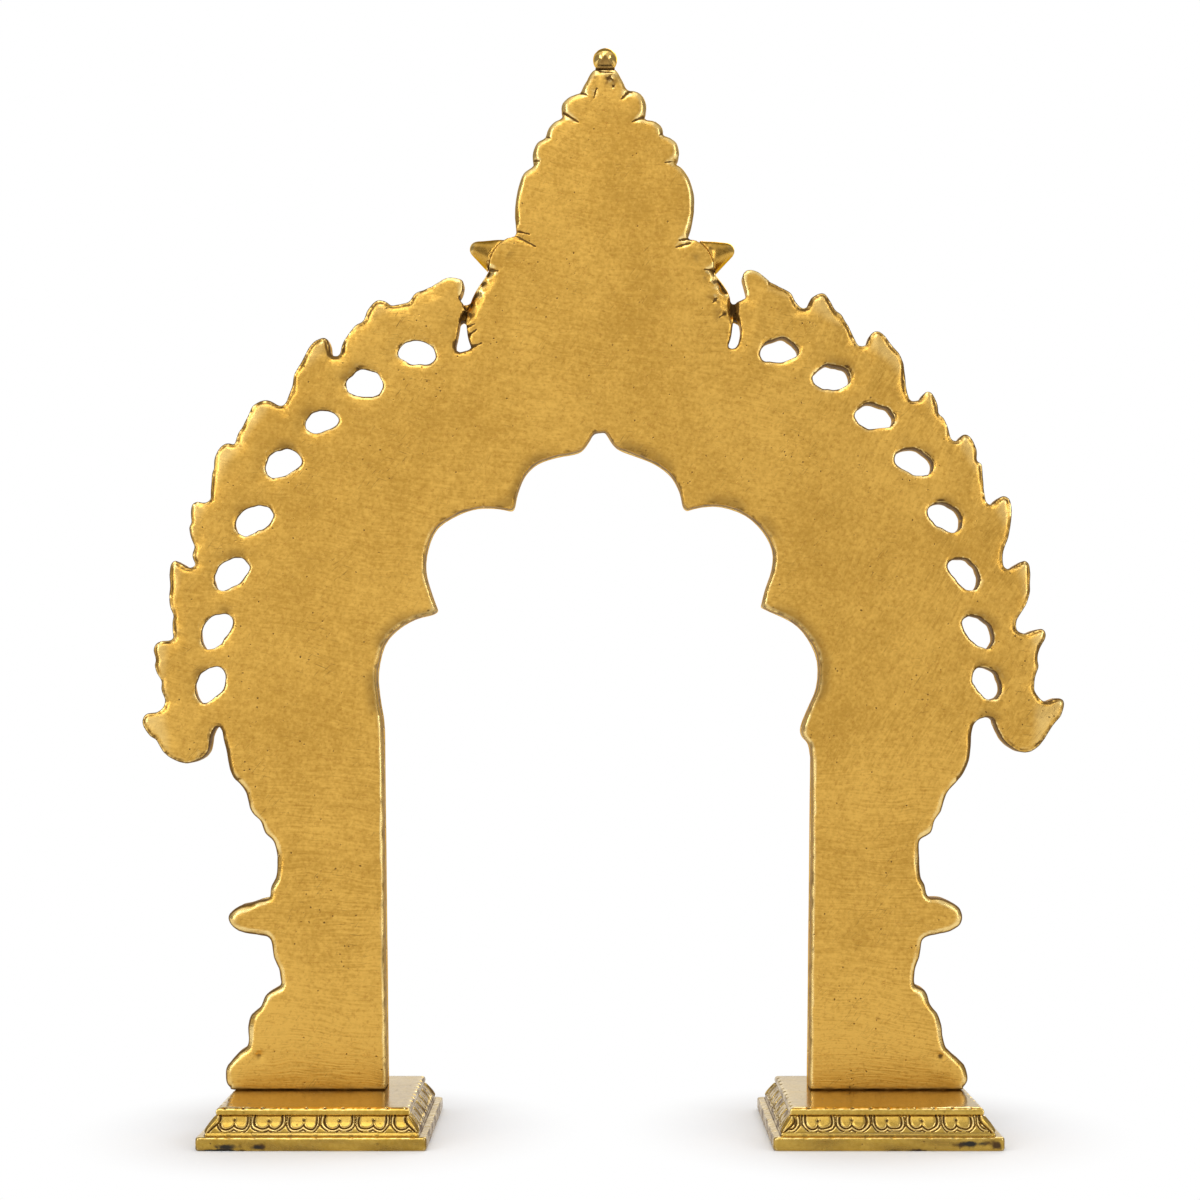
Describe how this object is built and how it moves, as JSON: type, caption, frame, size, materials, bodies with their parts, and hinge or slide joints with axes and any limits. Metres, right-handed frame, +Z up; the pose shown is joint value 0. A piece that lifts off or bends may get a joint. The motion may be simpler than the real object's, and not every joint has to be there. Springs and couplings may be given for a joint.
{
  "type": "prabhavali arch",
  "caption": "Cast brass shrine arch with a pierced flame border, cusped opening, mask crest and ball finial, standing on lotus-petal plinths to frame a small figure.",
  "frame": {"origin": "on the floor under the arch's axis, midway between the bottom faces of the plinths", "axes": "+X across the arch to the right as seen from its plain back, +Y towards the ornamented front, +Z up"},
  "size_m": [0.2165, 0.0516, 0.254],
  "materials": {
    "filed_brass": "satin, filed flat on the back",
    "cast_brass": "cast and burnished, dark patina in the hollows",
    "polished_brass": "polished",
    "plinth_brass": "burnished top, chased petals with dark patina",
    "screw_brass": "machined, dulled"
  },
  "bodies": {
    "root": {"arch_plate": "filed_brass", "kirtimukha_mask": "cast_brass", "finial_bead": "polished_brass", "inner_moulding": "cast_brass", "halo_rib": "cast_brass", "left_pilaster": "cast_brass", "right_pilaster": "cast_brass", "left_plinth": "plinth_brass", "right_plinth": "plinth_brass", "left_foot_screws": "screw_brass", "right_foot_screws": "screw_brass", "left_foot_washers": "screw_brass", "right_foot_washers": "screw_brass"}
  },
  "joints": []
}
